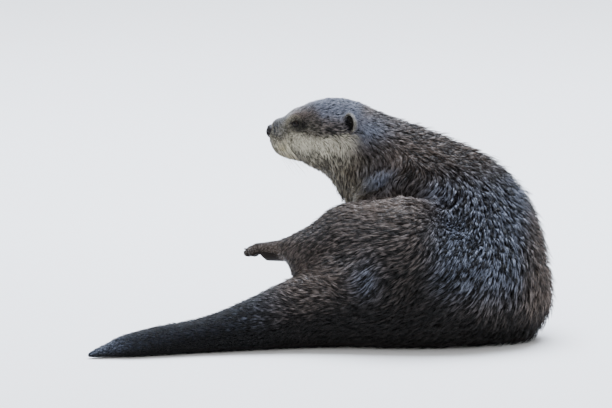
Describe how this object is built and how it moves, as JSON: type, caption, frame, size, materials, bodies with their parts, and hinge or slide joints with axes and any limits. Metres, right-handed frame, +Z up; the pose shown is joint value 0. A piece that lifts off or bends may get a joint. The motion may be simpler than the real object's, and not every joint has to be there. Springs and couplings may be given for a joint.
{
  "type": "otter",
  "caption": "Life-size small-clawed otter resting on one hip, tail laid out to one side, chest propped on its forelegs and head turned back.",
  "frame": {"origin": "on the floor, a point on the flat under the pelvis that the otter rests on", "axes": "+Z up, +X from the tail's tip towards the loin, +Y from the bent back through to the chest and forelegs"},
  "size_m": [0.4626, 0.2484, 0.231],
  "materials": {
    "back_coat": "wet dark grey-brown fur in spiky locks",
    "throat_coat": "pale buff fur streaked with brown",
    "crown_coat": "short grey-brown fur",
    "leg_coat": "short dark grey-brown fur",
    "tail_coat": "very short wet blue-grey fur",
    "foot_skin": "thin brown skin with sparse hair",
    "nose_skin": "moist black skin",
    "ear_skin": "thin haired skin",
    "eye": "wet and black"
  },
  "bodies": {
    "root": {"eye_left": "eye", "eye_right": "eye", "nose_pad": "nose_skin", "head": "crown_coat", "hind_foot_left": "foot_skin", "forepaw_left": "foot_skin", "forepaw_right": "foot_skin", "hind_foot_right": "foot_skin", "shank_left": "leg_coat", "shank_right": "leg_coat", "thigh_left": "leg_coat", "forearm_left": "leg_coat", "forearm_right": "leg_coat", "upper_arm_left": "leg_coat", "upper_arm_right": "leg_coat", "thigh_right": "leg_coat", "neck": "throat_coat", "tail": "tail_coat", "trunk": "back_coat", "ear_left": "ear_skin", "ear_right": "ear_skin"}
  },
  "joints": []
}
